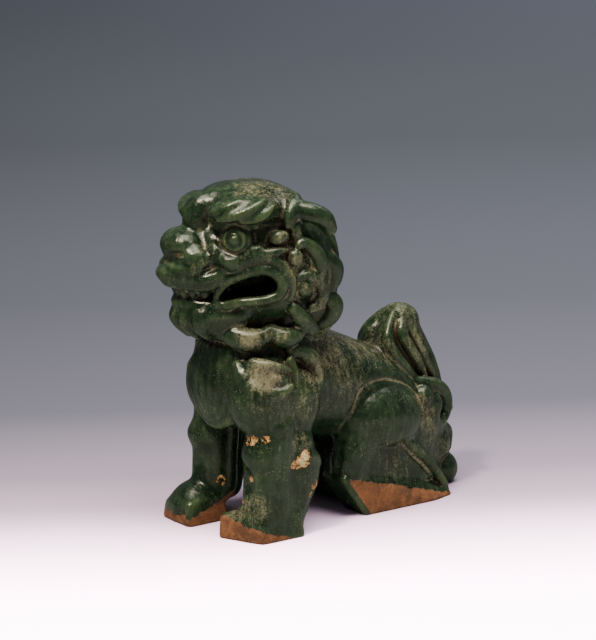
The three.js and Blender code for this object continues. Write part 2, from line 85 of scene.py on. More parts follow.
def smooth_curve(points, per_span=5, closed=False):
    """Samples of a Catmull-Rom curve through rows of numbers, from the first row to the last."""
    p = np.array(points, float)
    if closed:
        p = np.vstack([p[-1:], p, p[:2]])
    else:
        p = np.vstack([2 * p[0] - p[1], p, 2 * p[-1] - p[-2]])
    out = []
    for a, b, c, d in zip(p, p[1:], p[2:], p[3:]):
        for t in np.arange(per_span) / per_span:
            out.append(0.5 * (2 * b + (c - a) * t + (2 * a - 5 * b + 4 * c - d) * t ** 2
                              + (3 * b - a - 3 * c + d) * t ** 3))
    out.append(p[-2])
    return np.array(out)


class Clay:
    """A block of space in which clay is added and cut away as distances on a grid, in mm.

    While sides() runs, what is given for the left is mirrored for the right, and a * in a
    piece's name is the side. slide moves places along Y, then frame turns and moves them.
    """

    FAR = 6.0               # the greatest distance that is kept
    THINNEST = 0.15         # the least radius of a coil

    def __init__(self, low, high, step):
        self.step = step
        self.low = np.array(low, float)
        self.shape = tuple(int(n) for n in np.ceil((np.array(high) - self.low) / step) + 1)
        self.axes = [(self.low[k] + step * np.arange(self.shape[k])).astype(np.float32)
                     for k in range(3)]
        self.field = np.full(self.shape, self.FAR, np.float32)
        self.nearest = np.full(self.shape, self.FAR, np.float32)
        self.owner = np.zeros(self.shape, np.uint8)
        self.pieces = []
        self.frame = (np.eye(3), np.zeros(3))
        self.side, self.sign, self.slide = "", 1, 0

    def sides(self):
        """Sets the left side, then the right, and gives 1, then -1."""
        for self.side, self.sign in (("left", 1), ("right", -1)):
            yield self.sign
            self.slide = 0
        self.side, self.sign = "", 1

    def window(self, low, high):
        a = np.clip(np.floor((low - self.low) / self.step).astype(int), 0, self.shape)
        b = np.clip(np.ceil((high - self.low) / self.step).astype(int) + 1, 0, self.shape)
        return tuple(slice(i, j) for i, j in zip(a, b))

    def spread(self, w, origin=(0, 0, 0)):
        """Coordinates of the samples in a window, counted from a place."""
        x, y, z = (self.axes[k][w[k]] - np.float32(origin[k]) for k in range(3))
        return x[:, None, None], y[None, :, None], z[None, None, :]

    def sided(self, rows):
        return [[self.sign * x, y + self.slide, *rest] for x, y, *rest in rows]

    def here(self, places):
        spin, pivot = self.frame
        return np.array([spin @ np.array(place, float) + pivot for place in self.sided(places)])

    # ---- distances; each returns (window, distances in it)
    def egg_shape(self, at, radii, tilt=(0, 0, 0), margin=4.0):
        spin = self.frame[0] @ turn(tilt[0], self.sign * tilt[1], self.sign * tilt[2])
        centre = self.here([at])[0]
        radii = np.array(radii, float)
        reach = np.sqrt(((spin * radii) ** 2).sum(1)) + margin
        w = self.window(centre - reach, centre + reach)
        x, y, z = self.spread(w, centre)
        whole = np.zeros((), np.float32)
        steep = np.zeros((), np.float32)
        for k, radius in enumerate(radii.astype(np.float32)):
            along = (spin[0, k] * x + spin[1, k] * y + spin[2, k] * z).astype(np.float32) / radius
            whole = whole + along ** 2
            steep = steep + (along / radius) ** 2
        whole = np.sqrt(whole)
        steep = np.sqrt(steep) + 1e-6
        return w, whole * (whole - 1) / steep

    def roll_shape(self, rows, flat=1.0, face=(1, 0, 0), closed=False, per_span=5, margin=4.0):
        """A rolled coil through rows x, y, z, radius, pinched by flat along the direction face."""
        p = smooth_curve(self.sided(rows), per_span, closed)
        at = (self.frame[0] @ p[:, :3].T).T + self.frame[1]
        r = np.maximum(p[:, 3], self.THINNEST)
        face = self.frame[0] @ np.array((self.sign * face[0], *face[1:]), float)
        face /= np.linalg.norm(face)
        w = self.window((at - r[:, None]).min(0) - margin, (at + r[:, None]).max(0) + margin)
        out = np.full([s.stop - s.start for s in w], self.FAR, np.float32)
        for a, b, ra, rb in zip(at, at[1:], r, r[1:]):
            lo, hi = np.minimum(a - ra, b - rb) - margin, np.maximum(a + ra, b + rb) + margin
            v = self.window(lo, hi)
            local = tuple(slice(s.start - t.start, s.stop - t.start) for s, t in zip(v, w))
            x, y, z = self.spread(v, a)
            along = b - a
            length2 = along @ along + 1e-9
            t = (x * along[0] + y * along[1] + z * along[2]) / length2
            t = np.clip(t, 0, 1).astype(np.float32)
            qx, qy, qz = x - t * along[0], y - t * along[1], z - t * along[2]
            square = qx ** 2 + qy ** 2 + qz ** 2
            squeeze = 1.0
            if flat < 1:
                thin = face - along * (face @ along) / length2
                thin /= np.linalg.norm(thin) + 1e-9
                off = qx * thin[0] + qy * thin[1] + qz * thin[2]
                square = square + off ** 2 * (1 / flat ** 2 - 1)
                squeeze = 0.5 + 0.5 * flat
            d = (np.sqrt(square) - (ra + (rb - ra) * t)) * squeeze
            np.minimum(out[local], d, out=out[local])
        return w, out

    def lump_shape(self, radius, corners, directions=150, margin=4.0):
        """The rounded hull of balls of one radius, seen from a number of directions."""
        at = self.here(corners)
        w = self.window(at.min(0) - radius - margin, at.max(0) + radius + margin)
        x, y, z = self.spread(w)
        out = None
        for way in np.vstack([self.facings(at), compass(directions)]):
            a, b, c = way.astype(np.float32)
            d = (a * x + b * y) + (c * z - np.float32((at @ way).max()))
            out = d if out is None else np.maximum(out, d, out=out)
        return w, out - np.float32(radius)

    @staticmethod
    def facings(at):
        """The outward directions of the flat sides of the hull of some points."""
        kept = []
        for i, j, k in combinations(range(len(at)), 3):
            normal = np.cross(at[j] - at[i], at[k] - at[i])
            size = np.linalg.norm(normal)
            if size < 1e-6:
                continue
            for sign in (1, -1):
                way = sign * normal / size
                outermost = (at @ way).max() < at[i] @ way + 1e-6
                if outermost and not any(way @ q > 0.9999 for q in kept):
                    kept.append(way)
        return np.array(kept).reshape(-1, 3)

    # ---- clay on and off
    def code_of(self, name):
        """The number of a piece, counted from 1 in the order of first use."""
        name = name.replace("*", self.side)
        if name not in self.pieces:
            self.pieces.append(name)
        return self.pieces.index(name) + 1

    def add(self, name, blend, shape):
        w, d = shape
        near = self.nearest[w]
        self.owner[w][d < near] = self.code_of(name)
        np.minimum(near, d, out=near)
        self.field[w] = soft_min(self.field[w], d, np.float32(blend))

    def cut(self, name, blend, shape):
        """Cut a shape away; the skin of the hollow goes to the named piece, if there is one."""
        w, d = shape
        old = self.field[w]
        new = soft_max(old, -d, np.float32(blend))
        if name:
            self.owner[w][(-d > old - 0.5) & (d < 1.2)] = self.code_of(name)
        self.field[w] = new

    def egg(self, name, blend, *shape):
        self.add(name, blend, self.egg_shape(*shape))

    def roll(self, name, blend, *rows, **how):
        self.add(name, blend, self.roll_shape(rows, **how))

    def lump(self, name, blend, radius, *corners, **how):
        self.add(name, blend, self.lump_shape(radius, corners, **how))

    def hollow(self, blend, *shape, name=None):
        self.cut(name, blend, self.egg_shape(*shape))

    def groove(self, blend, *rows, name=None):
        self.cut(name, blend, self.roll_shape(rows))


def soft_max(a, b, k):
    """The greater of two fields, rounded where they differ by less than k."""
    h = np.maximum(k - np.abs(a - b), 0) / k
    return np.maximum(a, b) + h * h * k * np.float32(0.25)


def soft_min(a, b, k):
    return -soft_max(-a, -b, k)


# ---------------------------------------------------------------- the sculpture

BACK = [[0, -32, 74, 27], [0, -8, 67, 27], [0, 16, 58, 26], [0, 33, 49, 26], [0, 50, 36, 25]]


def body(c):
    shell = "torso_shell"
    c.roll(shell, 3, *BACK, per_span=12, margin=5)
    c.egg(shell, 4, (0, -35, 73), (26, 22, 27))
    c.roll(shell, 4, [0, -30, 84, 24], [-1, -32, 103, 22], per_span=1)
    c.lump(shell, 6, 11, [12, 24, 10], [-12, 24, 10], [11, 56, 10], [-11, 56, 10], [5, 73, 11],
           [-5, 73, 11], [10, 64, 36], [-10, 64, 36], [12, 22, 32], [-12, 22, 32])


def hindquarters(c):
    for _ in c.sides():
        haunch = "*_haunch"
        # the shank first, then the thigh as a dome that rests on it, with a crease between
        c.lump(haunch, 4, 7.5, [20, 9, 26], [20, 12, 38], [21, 40, 32], [22, 54, 14], [20, 12, 17],
               [22, 34, 12], [17, 12, 26], [14, 50, 24])
        c.egg(haunch, 1.0, (17.8, 29.5, 44.8), (16.8, 26, 17.5), (-14, 0, 0))
        c.roll(haunch, 5, [18.5, 19, 44, 10], [20, 12, 34, 8.8], [20.5, 8, 26, 8.2],
               [20.5, 8, 20, 7.5])
        c.roll(haunch, 1.4, [27.9, 36, 36, 1.4], [28.2, 45.5, 27.5, 2.3], [28.6, 53, 20.5, 2.4],
               [29, 59, 13.5, 2.3], [29.4, 64, 6.5, 2.2], [29.4, 65.5, 2, 2])
        c.groove(1.4, [29, 32, 35.4, 0.15], [28.8, 42.6, 25.2, 0.8], [29.3, 50, 18.2, 0.9],
                 [29.8, 56, 11.4, 0.7], [30.2, 60.5, 5.5, 0.2])
        c.groove(1.6, [25.2, 5.5, 47, 0.15], [25.9, 10, 60, 0.9], [25.4, 18, 64.4, 1.1],
                 [23, 31.5, 64.2, 1.1], [20.4, 50, 56.5, 1.1], [22.7, 56, 45.5, 0.9],
                 [25, 56.4, 34, 0.15])
        c.lump("*_hind_foot", 1.0, 2, [26.3, 1, 19.2], [27.2, 26, 15.2], [28.2, 46, 10],
               [29.5, 60, 3.2], [28.9, 14, 0], [32.2, 55, 0], [30, 66.5, 0], [20, 70, 1.5],
               [12, 2, 19], [16.5, 14, 0], [16.5, 68, 0], [16.5, 60, 5])


def forelegs(c):
    for s in c.sides():
        sx, sy, x, y, r = (20, -45, 24, -44, 11.8) if s > 0 else (20, -38, 20.5, -41, 11)
        leg = "*_foreleg"
        c.egg(leg, 3, (sx + 1, sy - 0.5, 67), (14.5, 16.5, 19.5))
        c.egg(leg, 3, (25, -29, 64), (11, 13, 17))
        c.roll(leg, 1.8, [x + 1, y + 1, 54, r - 0.8], [x, y, 42, r + 0.4], [x, y - 0.5, 30, r],
               [x, y - 1, 16, r], per_span=8)
        c.egg(leg, 3, (x + 1, y - 6.2, 41), (9.5, 7.2, 7))
        c.groove(2.4, [x - 9 * s, y - 11.6, 51, 0.6], [x, y - 13.4, 49.6, 1],
                 [x + 8 * s, y - 10.6, 50.6, 0.7])
        c.hollow(3, (x - 2, y - 15, 28), (6, 5, 7))
        tuft = "*_elbow_tuft"
        c.slide = y + 44
        c.roll(leg, 5, [28, -30, 44, 8], [27.5, -30, 30, 9], [26.5, -33, 12, 8], per_span=8)
        c.roll(tuft, 1.6, [30.5, -31, 38, 4.5], [31, -26.5, 34, 6], [30.5, -26.5, 25, 6],
               [29.5, -30, 14, 4.5], flat=0.7, face=(1, -0.2, 0))
        c.roll(tuft, 1.8, [32.5, -39, 36.5, 1.2], [33.3, -35, 37, 2.8], [33.6, -30, 38.5, 3.6],
               [32.8, -24.5, 37.5, 3.2], [32, -20.5, 33.5, 1.8])
        c.egg(tuft, 2, (32.3, -31, 38), (3.4, 8, 4.6), (-14, 0, 0))

        # flame of hair behind the shoulder: a leaf, a hollow under it and a low rim
        tuft = "*_shoulder_tuft"
        c.slide = sy + 45
        c.roll(tuft, 2.5, [27, -34, 90, 2.4], [28.8, -28, 88, 3.6], [29.3, -22, 84, 3.8],
               [29.5, -18.5, 77.5, 2])
        c.roll(tuft, 3, [29, -35, 85, 2], [31, -34, 79, 2.4], [31, -32, 74, 2])
        c.roll(tuft, 2.5, [30.5, -34, 69.5, 3], [31.5, -28, 68, 3.4], [30.8, -20.5, 70.5, 2.8],
               [29, -17, 76, 1.8])

        # the curled lock on the point of the shoulder, a flame with a bead in its hook
        lock = "*_shoulder_lock"
        c.egg(lock, 1.4, (25.5, -50, 79), (5.5, 10.5, 8.5), (0, 0, -41))
        c.roll(lock, 2.2, [17, -57, 84, 2.6], [20.5, -58, 79.5, 3], [26, -56, 74.5, 3.2],
               [31, -51, 71.8, 3], [34.8, -45, 72.2, 2.5], [36, -40, 75, 1.2])
        c.roll(lock, 2, [24, -53.5, 86, 2.4], [30, -49.5, 85.2, 2.4], [33.4, -43.5, 83.6, 2],
               [33.6, -38.5, 81.6, 1.1])
        c.groove(2.2, [35.5, -40, 80.8, 0.7], [34.6, -45, 81.4, 0.7], [32.8, -49.6, 79.5, 0.5],
                 [34.2, -49.4, 76.4, 0.5], name=lock)
        c.egg(lock, 2.2, (32.4, -44.5, 78.3), (2.9, 5.2, 2.6), (s * -12, 0, 0))

    for s in c.sides():
        outline = ([[10.4, -63.4], [33.2, -55.6], [34.8, -31], [12, -36]] if s > 0 else
                   [[10.1, -65.3], [32.8, -64], [34, -41], [9, -43]])
        mid = np.mean(outline, 0)

        def inset(corner, by):
            corner = np.array(corner, float)
            return corner + (mid - corner) / np.linalg.norm(mid - corner) * by

        toe_in, toe_out, heel_out, heel_in = outline
        low = [[*inset(corner, 3.0), 0] for corner in outline]
        high = [[*inset(toe_in, 3.6), 9.2], [*inset(toe_out, 4.2), 6.4],
                [*inset(heel_out, 5), 10], [*inset(heel_in, 5), 10]]
        paw = "*_forepaw"
        c.lump(paw, 4, 3, *low, *high, directions=300)
        front = (np.array(toe_in) + toe_out) / 2
        for share, size, z, r in ((0.66, 10, 7.2, 8.6), (0.98, 11, 8, 10.5)):
            x, y = front + (mid - front) * share
            c.egg(paw, 4, (x, y, z), (size, 8.5, r))


BIB_MIDDLE = -3


def chest(c):
    bib = "chest_plate"
    c.egg(bib, 2, (-3, -46.5, 70), (20, 14, 22))
    for half, low, size in ((17.5, 51.5, 2.6), (12.5, 55, 2.4), (7.5, 58.5, 2.4), (2.6, 62, 2.4)):
        line = []
        for step in range(-5, 6):
            turn_by = step * pi / 10
            side = BIB_MIDDLE + half * sin(turn_by)
            z = low + (72 - low) * (1 - cos(turn_by))
            away = (side - BIB_MIDDLE) ** 2 * 0.022
            line.append([side, -58.6 + away + 0.012 * (z - 70) ** 2, z, size])
        for end in (-1, 1):
            side = BIB_MIDDLE + half * end * 0.8
            row = [side, -55.5 + (side - BIB_MIDDLE) ** 2 * 0.022, 88, size * 0.9]
            line = line + [row] if end > 0 else [row] + line
        c.roll(bib, 1.4, *line, per_span=3)


def tail(c):
    middle = "tail_middle"
    c.lump(middle, 2.5, 5, [0, 56, 87], [0, 64, 86], [2, 49, 80], [-2, 49, 80], [4, 40, 68],
           [-4, 40, 68], [3, 67, 75], [-3, 67, 75], [4, 75.5, 61], [-4, 75.5, 61], [5, 79, 48],
           [-5, 79, 48], [6, 48, 52], [-6, 48, 52])
    c.egg(middle, 3, (0, 60, 86.3), (8.5, 10.5, 7.9), (-12, 0, 0))
    c.roll(middle, 2, [0, 62, 90, 2], [0, 66, 82, 3], [0, 71, 73, 3.4], [0, 77, 62, 3.4],
           [0, 82, 52, 3])
    for _ in c.sides():
        plume = "*_tail_plume"
        c.roll(plume, 2.5, [3, 50, 86, 3], [5.5, 45.5, 79, 4.5], [7.5, 44.5, 71, 5],
               [9.5, 50, 63, 5], [10, 57, 56, 4], flat=0.8)
        c.roll(plume, 1.1, [4, 52, 91, 1.2], [7.2, 46, 84, 2.1], [9.6, 44.5, 77, 3.0],
               [11.6, 48, 70, 3.0], [13, 54, 63, 2.6], [13, 59.5, 57.5, 1.6])
        c.roll(plume, 1.1, [5.5, 57, 90, 1.2], [9.4, 53, 82, 2.6], [11.4, 56.5, 74, 2.9],
               [12.4, 61.5, 66, 2.7], [12, 67, 57, 1.6])
        c.roll(plume, 1.1, [6, 63, 88, 1.2], [8.4, 62, 79, 2.3], [9.8, 66.5, 70, 2.5],
               [10.2, 71.5, 60, 2.4], [9.6, 76, 52, 1.4])
        curl = "*_tail_upper_curl"
        c.egg(curl, 2, (17, 65.5, 44), (5.2, 7.6, 7.4), (-15, 0, 0))
        c.egg(curl, 1, (17.6, 60, 49.5), (5.6, 6.2, 5.8))
        c.roll(curl, 1.2, [13, 55.5, 57.5, 2.2], [15.5, 61.5, 56, 3], [16.3, 69, 54, 3.3],
               [14.8, 76.5, 49, 3.5], [12.5, 81, 42, 3.5], [12.5, 80, 35.5, 3],
               [15.5, 74.5, 33, 2.3], [18, 68, 34.5, 1.4])
        curl = "*_tail_lower_curl"
        c.egg(curl, 1.6, (12.5, 75.5, 21), (6, 7, 8.2))
        c.roll(curl, 1.2, [15.5, 66, 30.5, 1.8], [14.5, 71, 30.5, 3], [12, 78, 29.5, 3.4],
               [9, 84.5, 25, 3.6], [8, 85.5, 17, 3.2])
        c.egg(curl, 1.4, (10, 80, 7), (9, 9, 9))
    c.roll("tail_knob", 2.4, [8.5, 74, 48, 4], [7.5, 80, 45.5, 5], [4, 84, 40, 5.2],
           [0, 85, 33, 4.8], [0, 85.5, 25, 4.2])
    c.roll("tail_knob", 2.4, [-8.5, 74, 48, 4], [-7.5, 80, 45.5, 5], [-4, 84, 40, 5])
    c.egg("tail_knob", 0.8, (5.5, 88.8, 36.5), (3, 3, 3))


def head(c):
    c.frame = (turn_z(HEAD_TURN), HEAD_PIVOT)
    shell = "head_shell"
    c.egg(shell, 4, (0, 0, 137), (27, 27, 26))
    c.egg(shell, 5, (0, 3, 120), (29.5, 27, 23))
    c.roll(shell, 4, [0, -10, 137, 18], [0, -29, 133, 13], per_span=1)
    c.egg(shell, 5, (0, 9, 126), (30.5, 25, 27))
    for _ in c.sides():
        c.egg(shell, 4, (14.5, -10, 133), (12.5, 14.5, 7.5))
        c.egg(shell, 4, (8, -25, 134), (10, 12, 8))
        c.egg(shell, 4, (19, -17, 134), (8, 10, 5.5), (0, 20, 45))
    c.egg("nape_mane", 4, (0, 20, 125), (27.5, 20, 31))
    c.egg("nape_mane", 4, (0, 27, 104), (20, 13, 17))
    for lane in range(-3, 4):
        lock = []
        for z, spread, size in ((151, 3.6, 1.6), (143, 4.6, 2.6), (132, 5.6, 3.0),
                                (120, 5.8, 3.0), (109, 5.2, 2.8), (99, 4.4, 2.4), (94, 4.2, 1.2)):
            x = lane * spread + 1.2 * sin(z / 7)
            upper = 20 + 20 * max(0, 1 - (x / 27.5) ** 2 - ((z - 125) / 31) ** 2) ** 0.5
            lower = 27 + 13 * max(0, 1 - (x / 20) ** 2 - ((z - 104) / 17) ** 2) ** 0.5
            lock.append([x, max(upper, lower) - 0.6, z, size])
        c.roll("nape_mane", 1.2, *lock)
    c.lump("lower_jaw", 2, 6, [0, -33, 106], [11, -28, 106], [-11, -28, 106], [0, -30, 101],
           [15, -12, 107], [-15, -12, 107], [10, -19, 99], [-10, -19, 99])

    # the flat cap of hair and the roll between the brows
    for x, y, z, wide, deep, high in ((0, -10, 156.5, 21, 15, 9.8), (9, 5, 155.5, 18, 16, 9.6),
                                      (-9, 5, 155.5, 18, 16, 9.6), (0, 0, 157, 21, 18, 8.6)):
        c.egg("crown", 4, (x, y, z), (wide, deep, high))
    c.roll("crown", 3, [2, -20, 157, 7.5], [0.5, -26, 154.5, 7.5], [1, -28.5, 148.5, 6],
           [1, -28, 143, 4])

    for s in c.sides():
        # eye socket, ball, pupil and lids
        c.hollow(3, (25.2, -20.3, 144.3), (6.3, 7.2, 7.4), name="*_eyelid")
        c.egg("*_eyeball", 0.6, (21, -16.1, 143.6), (7.7, 7.7, 7.7))
        gaze = np.array([0.80, -0.58, 0.10])
        gaze /= np.linalg.norm(gaze)
        across = np.cross([0, 0, 1.0], gaze)
        across /= np.linalg.norm(across)
        up = np.cross(gaze, across)
        middle = np.array([21, -16.1, 143.6])
        ring = [[*(middle + gaze * 6.3 + (s * across * cos(a) + up * sin(a)) * 4.5), 1.0]
                for a in np.arange(8) * np.pi / 4]
        c.roll("*_eyeball", 0.9, *ring, closed=True)
        c.egg("*_eyeball", 0.4, middle + gaze * 6.5, (2.7, 2.7, 2.7))
        c.roll("*_eyelid", 2.6, [15.5, -25.5, 140.5, 1.2], [18, -23.5, 137.6, 1.9],
               [22, -19.5, 136.2, 2.2], [26, -13.5, 137.4, 2.2], [28, -8.5, 140.0, 1.6])
        c.roll("*_eyelid", 2, [17, -24.5, 149, 1.2], [21, -20, 151.5, 1.4], [25.5, -12, 151, 1.4],
               [27, -9, 149, 0.8])

        # brow, combed into flames
        low = 0 if s > 0 else 3.5
        c.roll("*_brow", 4, [16, -23.5, 155 - low, 5.5], [21.5, -18.5, 157 - low, 7 - low / 4],
               [25, -10, 157 - low, 7.2 - low / 4], [25, -5, 157 - low, 6.2], flat=0.92,
               face=(0, 0, 1))
        for line in (([18, -28.5, 155.5, 0.6], [21.5, -26.5, 157.2, 1.5], [25, -22.5, 159.3, 1.5],
                      [26.5, -18, 161.6, 0.6]),
                     ([22.5, -27, 153, 0.6], [27, -23, 154.6, 1.7], [30.5, -17, 157, 1.9],
                      [31.5, -11, 160, 1.5], [30, -6, 163, 0.6]),
                     ([29.5, -17.5, 152.5, 0.6], [32, -12.5, 153.8, 1.6], [33, -7, 156.3, 1.8],
                      [31.5, -2, 160, 0.6])):
            c.roll("*_brow", 2.6, *([x, y, z - low, r] for x, y, z, r in line))

    # nose
    c.egg("nose", 2.5, (0, -35.5, 138.3), (12, 9.5, 8.8), (-10, 0, 0))
    for _ in c.sides():
        c.egg("nose", 2.5, (10, -32.5, 134), (7, 7.5, 5.6))
        c.groove(2, [4.2, -45.2, 134.8, 1.4], [8.2, -42.2, 135, 2.2], [10.5, -39.5, 135.6, 1.3])
        c.groove(2.5, [8.5, -29.5, 147, 1.2], [11.5, -29.5, 143.5, 1.7], [14, -29.3, 140, 1.5],
                 [16.5, -28, 137, 0.8])
        c.roll("nose", 1.5, [4, -43.2, 130.6, 1.1], [9, -41.0, 129.8, 1.3], [14, -36, 130.2, 1.5],
               [17, -31, 132.5, 1.3], [16.5, -28, 135.5, 0.7])

    # upper lip, a beak that runs back and curls up at the corners
    c.egg("upper_lip", 3, (0, -31, 127.5), (16.5, 13.5, 5))
    for drop, out, size in ((0, 0, 1.0), (3.2, -1.6, 0.85)):
        c.roll("upper_lip", 1.5, [-19.5, -22, 129.5 - drop, 2.4 * size],
               [-18, -26, 126 - drop, 2.8 * size], [-14.5, -32.5 - out, 124.4 - drop, 3.1 * size],
               [-7, -40.5 - out, 125, 3.3 * size - drop * 0.2],
               [0, -44.3 - out, 126.2 - drop, 3.6 * size], [7, -40.5 - out, 125 - drop, 3.3 * size],
               [14.5, -32.5 - out, 124.4 - drop, 3.1 * size], [18, -26, 126 - drop, 2.8 * size],
               [19.5, -22, 129.5 - drop, 2.4 * size])
    for _ in c.sides():
        c.egg("upper_lip", 0.8, (19.6, -21.6, 130.2), (2.9, 2.9, 2.9))

    # the open mouth: a slot through each cheek, meeting behind the teeth
    for _ in c.sides():
        for inward in (0, 4, 8, 12, 16):
            c.groove(1.0, [17 - 0.9 * inward, -22, 116.2, 2.4],
                     [22 - 0.9 * inward, -17, 117.5, 3.8], [27 - 0.9 * inward, -9, 120, 5.4],
                     [28.5 - 0.9 * inward, -4, 121, 5.6], name=shell)
    c.hollow(1.5, (0, -24, 116.5), (16, 12, 5), name=shell)
    c.egg("tongue", 1, (0, -22, 113), (10, 12, 3))
    for _ in c.sides():
        for k in range(4):
            c.egg("upper_teeth", 0.4, (1.9 + 3.7 * k, -37.2 + 0.9 * k * k, 118), (1.9, 2.2, 3.2))
    c.roll("upper_teeth", 1, [-13, -28, 120, 3], [0, -36, 120, 3.5], [13, -28, 120, 3])

    for _ in c.sides():
        c.roll(shell, 3, [15, -26.5, 137.2, 1.5], [19, -22.5, 134.6, 2.6], [24, -16.5, 134.4, 3.0],
               [28, -9, 136, 3.0], [30, -2, 137.5, 2.4], [31, 4, 138.5, 1.2])
        rim = "*_mouth_rim"
        c.roll(rim, 1.4, [19.5, -21.5, 123, 2.2], [24, -16.8, 127, 2.6], [28.3, -9.5, 129.8, 2.7],
               [30.3, -3, 128.8, 2.7], [31, 1.8, 124, 2.7], [30.5, 1.2, 118, 2.5],
               [28.3, -5, 115.2, 2.4], [23.5, -14.5, 114, 2.3], [17.5, -21.5, 112, 2.1],
               [15.3, -24.5, 114.3, 1.7], [16.8, -23.8, 118.6, 1.8], closed=True)
        # the fold of the cheek outside it
        c.roll(shell, 1.6, [22.5, -18.5, 131.2, 1.2], [24.8, -15, 133.3, 1.9],
               [27.9, -9.5, 135, 2.1], [30, -4, 134.6, 2.1], [31.5, 1.5, 131.8, 2.1],
               [32, 6, 125.8, 2], [31.4, 7.5, 119.5, 1.6], [30.2, 6.5, 114.5, 0.9])

    # lower lip, chin and the row of lower teeth
    c.roll("lower_jaw", 1.8, [-15, -24, 111.5, 2.2], [-8, -33, 111.5, 2.8], [0, -37, 112, 3.2],
           [8, -33, 111.5, 2.8], [15, -24, 111.5, 2.2])
    for _ in c.sides():
        for k in range(3):
            c.egg("lower_jaw", 0.5, (2 + 3.6 * k, -34 + 1.0 * k * k, 114.6), (1.8, 2.0, 2.2))
    for k in range(-2, 3):
        c.roll("lower_jaw", 1.8, [k * 5.5, -36.8 + 1.3 * k * k, 108, 2.6],
               [k * 6, -37.2 + 1.4 * k * k, 103, 3.4], [k * 5.5, -32 + 1.2 * k * k, 97, 2.4])

    for _ in c.sides():
        c.egg("*_cheek_bead", 0.8, (28.3, 1.5, 144), (3.4, 5.2, 3.4), (8, 0, 0))
        c.roll("*_ear_lock", 1.2, [12, 14, 159, 3], [19, 13, 159.5, 3.8], [25, 10.5, 157.5, 4.4],
               [28, 7.5, 153.5, 3.4], [28.6, 6, 149, 1.6])
        c.roll("*_ear", 1.2, [21, 9, 155, 3.5], [25.5, 12, 155.5, 4.6], [28.5, 17.5, 154, 5.2],
               [29.5, 23.5, 151, 5], [29.3, 27, 146.5, 3.6])
        c.roll("*_ear", 1.5, [26, 11, 151, 3], [28, 10.5, 146, 3], [27.5, 12, 141, 2])
        c.hollow(1.5, (31.5, 18, 146), (5.5, 6, 3.8), (-25, 0, 0))

        # mane curls round the cheek: a bead inside a comma
        c.egg("*_mane_curl_1", 1, (30.5, 8.7, 134.3), (3.4, 3.9, 4.2))
        c.roll("*_mane_curl_1", 1.2, [30.5, 10.5, 140, 1.8], [30, 14, 140.7, 2.6],
               [29.5, 19, 137, 3.4], [28.5, 22.5, 130.5, 3.7], [28, 22, 124.5, 3.2],
               [29, 18.5, 122, 2])
        c.egg("*_mane_curl_2", 1, (30, 14, 119.5), (3.6, 4.0, 4.2))
        c.roll("*_mane_curl_2", 1.2, [30.5, 10.8, 124.5, 1.8], [30, 15.5, 125.3, 2.6],
               [28.3, 21, 122, 3.2], [26.8, 24.5, 116, 3.5], [26.5, 22.5, 110.5, 3.2],
               [28.5, 18, 109, 2])
        c.roll("*_mane_curl_3", 1.2, [22, 29, 131, 3.5], [21, 33, 126, 4.8], [20, 32.5, 119.5, 4.6],
               [20, 29, 115.5, 3])
        c.roll("*_mane_curl_4", 1.2, [20, 29, 113, 3.5], [20, 33.5, 108, 4.8], [19, 32, 102, 4.4],
               [18, 28, 99, 3])
        c.roll("*_mane_curl_5", 1.2, [28.5, 9, 110, 3.2], [27.5, 13.5, 104.5, 4.4],
               [24.5, 18.5, 99.5, 4.4], [22, 22, 97, 3])
        c.roll("*_beard_lobe_1", 1.2, [10, -19, 100, 3.5], [15.5, -16, 97, 5.6],
               [21.5, -9.5, 95, 5.8], [24.5, -4, 97.5, 3.6], flat=0.9)
        c.roll("*_beard_lobe_2", 1.2, [23.5, -1, 99, 4], [26.5, 5, 96, 5], [26.5, 11, 97, 4],
               [25.5, 14, 100, 2.5])


def model(c):
    for part in (body, hindquarters, forelegs, chest, tail, head):
        part(c)


# ---------------------------------------------------------------- from clay to meshes

THIN_SKIN, THICK_SKIN = 0.2, 0.9     # mm, how thick a piece's fired skin is made
SPECK = 90                           # faces; a smaller patch of a piece joins its neighbour
REACHES = (1.5, 3.0, 4.5)            # mm, how far off other clay is felt in a hollow


def blurred(volume, times):
    """A volume blurred by [1 2 1] / 4 along every axis, some number of times."""
    out = volume.copy()
    for _ in range(times):
        for axis in range(3):
            inner = [slice(None)] * 3
            before, after = list(inner), list(inner)
            inner[axis], before[axis], after[axis] = slice(1, -1), slice(None, -2), slice(2, None)
            middle = out[tuple(inner)] * 0.5 + (out[tuple(before)] + out[tuple(after)]) * 0.25
            out[tuple(inner)] = middle
    return out


def sampled(volume, at):
    """Values of a volume between its samples, at rows of grid coordinates."""
    base = np.clip(np.floor(at).astype(np.int32), 0, np.array(volume.shape) - 2)
    part = np.clip(at - base, 0, 1).astype(np.float32)
    x, y, z = base.T
    out = np.zeros(len(at), np.float32)
    for i, j, k in np.ndindex(2, 2, 2):
        share = np.abs(part[:, 0] - (1 - i)) * np.abs(part[:, 1] - (1 - j))
        share = share * np.abs(part[:, 2] - (1 - k))
        out += share * volume[x + i, y + j, z + k]
    return out


def slope(volume, at):
    """The direction in which the distance grows, at rows of grid coordinates."""
    out = np.stack([sampled(volume, at + step) - sampled(volume, at - step)
                    for step in np.eye(3)], 1)
    return out / (np.linalg.norm(out, axis=1, keepdims=True) + 1e-9)


def skin_of(clay, field):
    """Points in grid coordinates and quads of the clay's surface."""
    grid = openvdb.FloatGrid(clay.FAR)
    grid.copyFromArray(field)
    points, quads = grid.convertToQuads()
    points = np.asarray(points, np.float64)
    quads = np.asarray(quads, np.int64)
    for _ in range(2):
        away = slope(field, points)
        points = points - away * (sampled(field, points) / clay.step)[:, None]
    normals = slope(field, points)
    a, b, c = points[quads[:, 0]], points[quads[:, 1]], points[quads[:, 2]]
    facing = (np.cross(b - a, c - a) * normals[quads[:, 0]]).sum(1).mean()
    return points, quads[:, ::-1] if facing < 0 else quads, normals


